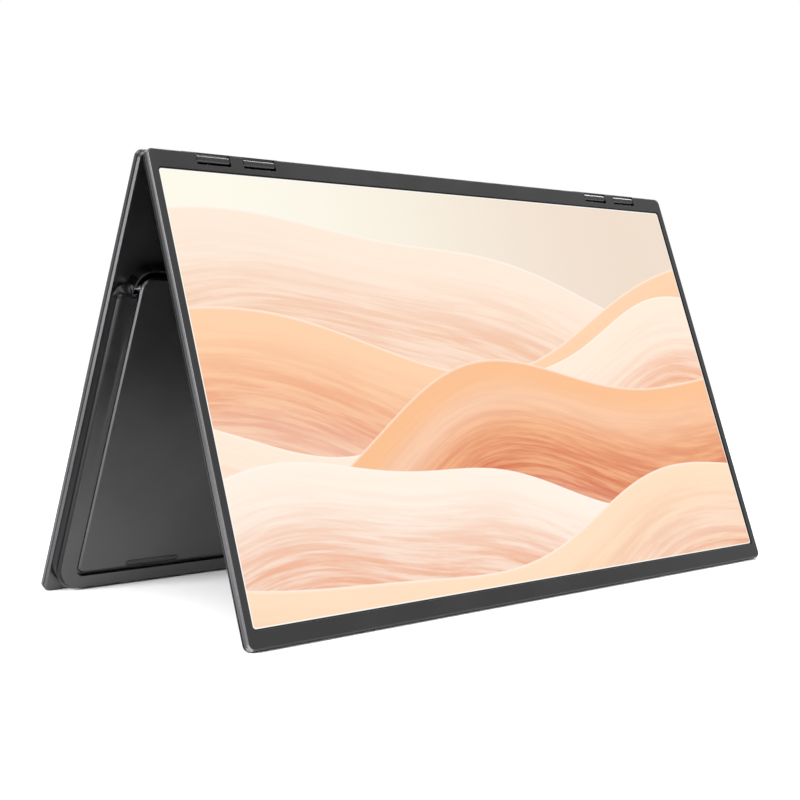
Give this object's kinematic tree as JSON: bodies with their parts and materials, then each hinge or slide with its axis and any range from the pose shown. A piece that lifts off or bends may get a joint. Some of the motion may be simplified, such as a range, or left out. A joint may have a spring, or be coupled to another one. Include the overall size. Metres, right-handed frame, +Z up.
{
  "type": "folding portable monitor",
  "caption": "Slim folding portable monitor standing as a tent: two display leaves joined by pill-shaped double-axis hinges, with an electronics housing and a flush kickstand on the rear leaf.",
  "frame": {"origin": "middle of the footprint, on the surface that the two leaves' bottom edges stand on", "axes": "+X along the hinge, to the right of someone who faces the lit display; +Y from the display leaf to the cover leaf; +Z up"},
  "size_m": [0.3522, 0.155, 0.1973],
  "materials": {
    "shell": "dark grey anodised aluminium, fine bead-blasted satin",
    "link_metal": "dark grey satin metal",
    "button_metal": "dark grey anodised, satin",
    "lit_screen": null,
    "dark_screen": "switched-off panel, low gloss",
    "film": "white film",
    "light_guide": "clear acrylic",
    "led_bar": "LED strip",
    "tray": "thin pressed sheet",
    "steel": "bright steel",
    "bronze": "bearing bronze",
    "board": "circuit board with solder mask",
    "ribbon": "flat flexible cable",
    "black_plastic": "moulded black plastic",
    "rubber": "matt rubber"
  },
  "bodies": {
    "cover_leaf": {"cover_bezel": "shell", "cover_panel": "dark_screen", "cover_diffuser": "film", "cover_light_guide": "light_guide", "cover_reflector": "film", "cover_led_bar": "led_bar", "cover_tray": "tray", "cover_driver_board": "board", "cover_housing": "shell", "cover_hinge_brackets": "steel", "cover_hinge_shafts": "steel", "cover_bracket_screws": "steel", "cover_ribbon": "ribbon", "main_board": "board", "board_screws": "steel", "usb_c_ports": "steel", "mini_hdmi_port": "steel", "audio_jack": "black_plastic", "speakers": "black_plastic", "button_board": "board", "tact_switches": "black_plastic", "display_cable": "ribbon", "kickstand_pins": "steel", "kickstand_clips": "link_metal", "magnet_keepers": "steel"},
    "display_leaf": {"display_bezel": "shell", "display_panel": "lit_screen", "display_diffuser": "film", "display_light_guide": "light_guide", "display_reflector": "film", "display_led_bar": "led_bar", "display_tray": "tray", "display_driver_board": "board", "display_back_cover": "shell", "display_hinge_brackets": "steel", "display_hinge_shafts": "steel", "display_bracket_screws": "steel", "display_ribbon": "ribbon"},
    "hinge_links": {"link_covers": "link_metal", "link_spines": "black_plastic", "link_frames": "steel", "friction_sleeves": "bronze"},
    "rear_idlers": {"rear_idlers": "steel"},
    "front_idlers": {"front_idlers": "steel"},
    "kickstand": {"kickstand_plate": "shell", "kickstand_washers": "steel", "kickstand_strips": "rubber", "kickstand_magnets": "steel"},
    "power_button": {"power_button": "button_metal"},
    "plus_button": {"plus_button": "button_metal"},
    "minus_button": {"minus_button": "button_metal"}
  },
  "joints": [
    {"name": "hinge_turn", "type": "hinge", "parent": "cover_leaf", "child": "hinge_links", "pos_m": [0, 0.003, 0.19398], "axis": [-1, 0, 0], "range_deg": [0, 159.4]},
    {"name": "display_turn", "type": "hinge", "parent": "hinge_links", "child": "display_leaf", "pos_m": [0, -0.003, 0.19398], "axis": [-1, 0, 0], "range_deg": [0, 159.4]},
    {"name": "rear_idler_spin", "type": "hinge", "parent": "hinge_links", "child": "rear_idlers", "pos_m": [0, 0.001, 0.19398], "axis": [-1, 0, 0], "range_deg": [0, 159.4]},
    {"name": "front_idler_spin", "type": "hinge", "parent": "hinge_links", "child": "front_idlers", "pos_m": [0, -0.001, 0.19398], "axis": [-1, 0, 0], "range_deg": [-159.4, 0]},
    {"name": "kickstand_turn", "type": "hinge", "parent": "cover_leaf", "child": "kickstand", "pos_m": [0, 0.01727, 0.13925], "axis": [-1, 0, 0], "range_deg": [0, 50]},
    {"name": "power_press", "type": "slide", "parent": "cover_leaf", "child": "power_button", "axis": [-1, 0, 0], "range_m": [0, 0.0003], "stiffness_N_per_m": 2000},
    {"name": "plus_press", "type": "slide", "parent": "cover_leaf", "child": "plus_button", "axis": [-1, 0, 0], "range_m": [0, 0.0003], "stiffness_N_per_m": 2000},
    {"name": "minus_press", "type": "slide", "parent": "cover_leaf", "child": "minus_button", "axis": [-1, 0, 0], "range_m": [0, 0.0003], "stiffness_N_per_m": 2000}
  ],
  "couplings": [
    {"joint": "display_turn", "follows": "hinge_turn", "ratio": 1},
    {"joint": "rear_idler_spin", "follows": "hinge_turn", "ratio": 1},
    {"joint": "front_idler_spin", "follows": "hinge_turn", "ratio": -1}
  ]
}
